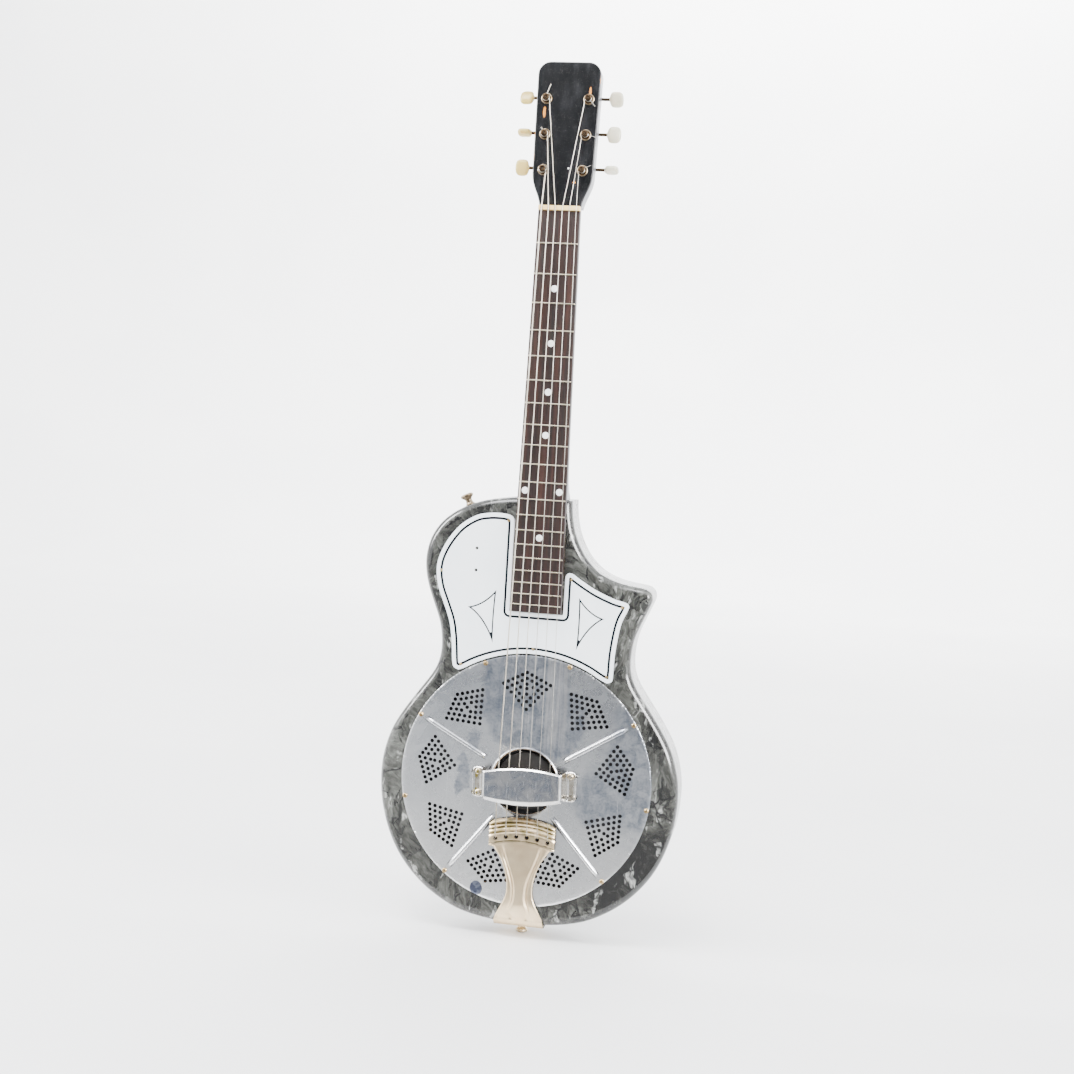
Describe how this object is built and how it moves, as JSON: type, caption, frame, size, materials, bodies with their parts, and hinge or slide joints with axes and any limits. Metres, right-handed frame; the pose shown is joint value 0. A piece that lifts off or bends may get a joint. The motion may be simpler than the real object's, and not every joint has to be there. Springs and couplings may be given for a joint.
{
  "type": "resonator guitar",
  "caption": "Student-size resonator guitar: pearloid cutaway body, round metal cover plate over a spun cone, hand rest, stamped tailpiece, bolt-on neck and worm-geared tuners.",
  "frame": {"origin": "tail end of the body on its centre line, in the plane of the front face, where a stand's cradle holds it", "axes": "+Z along the neck towards the headstock, -Y out of the front face, +X to the treble side, which has the cutaway"},
  "size_m": [0.3012, 0.0746, 0.8632],
  "materials": {
    "pearloid": "grey pearloid sheet with dark veins, polished",
    "side_band": "pale grey plastic band, glossy",
    "body_wood": "bare",
    "neck_paint": "black painted headstock face with chipped edges, grey painted neck",
    "rosewood": "open grained, with nickel frets and pearl dots",
    "bone": "yellowed bone",
    "maple": "bare",
    "dark_wood": "dark stained",
    "white_plastic": "white with an engraved black line",
    "cover_metal": "worn, fine scratches and haze",
    "spun_aluminium": "spun",
    "chrome": "worn",
    "aged_nickel": "aged nickel plate, warm",
    "steel_screw": "nickel plated, worn",
    "brass_screw": "plate worn through",
    "tuner_steel": "aged plated steel",
    "button_plastic": "cream plastic, yellowed on the bass side",
    "string_steel": "steel wire"
  },
  "bodies": {
    "instrument": {"body_frame": "body_wood", "front_cover": "pearloid", "side_band": "side_band", "back_cover": "pearloid", "neck": "neck_paint", "fingerboard": "rosewood", "nut": "bone", "pickguard": "white_plastic", "coverplate": "cover_metal", "cone": "spun_aluminium", "biscuit": "dark_wood", "biscuit_screw": "steel_screw", "saddle": "maple", "hand_rest": "chrome", "tailpiece": "aged_nickel", "end_button": "aged_nickel", "strap_button": "aged_nickel", "neck_bolt": "steel_screw", "tuner_plate_bass": "tuner_steel", "tuner_plate_treble": "tuner_steel", "string_1": "string_steel", "string_2": "string_steel", "string_3": "string_steel", "string_4": "string_steel", "string_5": "string_steel", "string_6": "string_steel", "rim_screw_1": "brass_screw", "rim_screw_2": "brass_screw", "rim_screw_3": "brass_screw", "rim_screw_4": "brass_screw", "rim_screw_5": "brass_screw", "rim_screw_6": "brass_screw", "rim_screw_7": "brass_screw", "rim_screw_8": "brass_screw", "rim_screw_9": "brass_screw", "rest_screw_1": "steel_screw", "rest_screw_2": "steel_screw", "rest_screw_3": "steel_screw"},
    "button_1": {"worm_shaft_1": "tuner_steel", "tuner_button_1": "button_plastic"},
    "post_1": {"string_post_1": "tuner_steel"},
    "button_2": {"worm_shaft_2": "tuner_steel", "tuner_button_2": "button_plastic"},
    "post_2": {"string_post_2": "tuner_steel"},
    "button_3": {"worm_shaft_3": "tuner_steel", "tuner_button_3": "button_plastic"},
    "post_3": {"string_post_3": "tuner_steel"},
    "button_4": {"worm_shaft_4": "tuner_steel", "tuner_button_4": "button_plastic"},
    "post_4": {"string_post_4": "tuner_steel"},
    "button_5": {"worm_shaft_5": "tuner_steel", "tuner_button_5": "button_plastic"},
    "post_5": {"string_post_5": "tuner_steel"},
    "button_6": {"worm_shaft_6": "tuner_steel", "tuner_button_6": "button_plastic"},
    "post_6": {"string_post_6": "tuner_steel"}
  },
  "joints": [
    {"name": "button_1_turn", "type": "hinge", "parent": "instrument", "child": "button_1", "pos_m": [0.01922, 0.02071, 0.75033], "axis": [1, 0, 0], "continuous": true},
    {"name": "post_1_turn", "type": "hinge", "parent": "instrument", "child": "post_1", "pos_m": [0.01922, -0.00323, 0.7449], "axis": [0, -0.9976, 0.0698], "continuous": true},
    {"name": "button_2_turn", "type": "hinge", "parent": "instrument", "child": "button_2", "pos_m": [0.01995, 0.02312, 0.78484], "axis": [1, 0, 0], "continuous": true},
    {"name": "post_2_turn", "type": "hinge", "parent": "instrument", "child": "post_2", "pos_m": [0.01995, -0.00082, 0.77942], "axis": [0, -0.9976, 0.0698], "continuous": true},
    {"name": "button_3_turn", "type": "hinge", "parent": "instrument", "child": "button_3", "pos_m": [0.02068, 0.02553, 0.81936], "axis": [1, 0, 0], "continuous": true},
    {"name": "post_3_turn", "type": "hinge", "parent": "instrument", "child": "post_3", "pos_m": [0.02068, 0.0016, 0.81393], "axis": [0, -0.9976, 0.0698], "continuous": true},
    {"name": "button_4_turn", "type": "hinge", "parent": "instrument", "child": "button_4", "pos_m": [-0.02068, 0.02553, 0.81936], "axis": [1, 0, 0], "continuous": true},
    {"name": "post_4_turn", "type": "hinge", "parent": "instrument", "child": "post_4", "pos_m": [-0.02068, 0.0016, 0.81393], "axis": [0, -0.9976, 0.0698], "continuous": true},
    {"name": "button_5_turn", "type": "hinge", "parent": "instrument", "child": "button_5", "pos_m": [-0.01995, 0.02312, 0.78484], "axis": [1, 0, 0], "continuous": true},
    {"name": "post_5_turn", "type": "hinge", "parent": "instrument", "child": "post_5", "pos_m": [-0.01995, -0.00082, 0.77942], "axis": [0, -0.9976, 0.0698], "continuous": true},
    {"name": "button_6_turn", "type": "hinge", "parent": "instrument", "child": "button_6", "pos_m": [-0.01922, 0.02071, 0.75033], "axis": [1, 0, 0], "continuous": true},
    {"name": "post_6_turn", "type": "hinge", "parent": "instrument", "child": "post_6", "pos_m": [-0.01922, -0.00323, 0.7449], "axis": [0, -0.9976, 0.0698], "continuous": true}
  ],
  "couplings": [
    {"joint": "post_1_turn", "follows": "button_1_turn", "ratio": 0.071429},
    {"joint": "post_2_turn", "follows": "button_2_turn", "ratio": 0.071429},
    {"joint": "post_3_turn", "follows": "button_3_turn", "ratio": 0.071429},
    {"joint": "post_4_turn", "follows": "button_4_turn", "ratio": 0.071429},
    {"joint": "post_5_turn", "follows": "button_5_turn", "ratio": 0.071429},
    {"joint": "post_6_turn", "follows": "button_6_turn", "ratio": 0.071429}
  ]
}
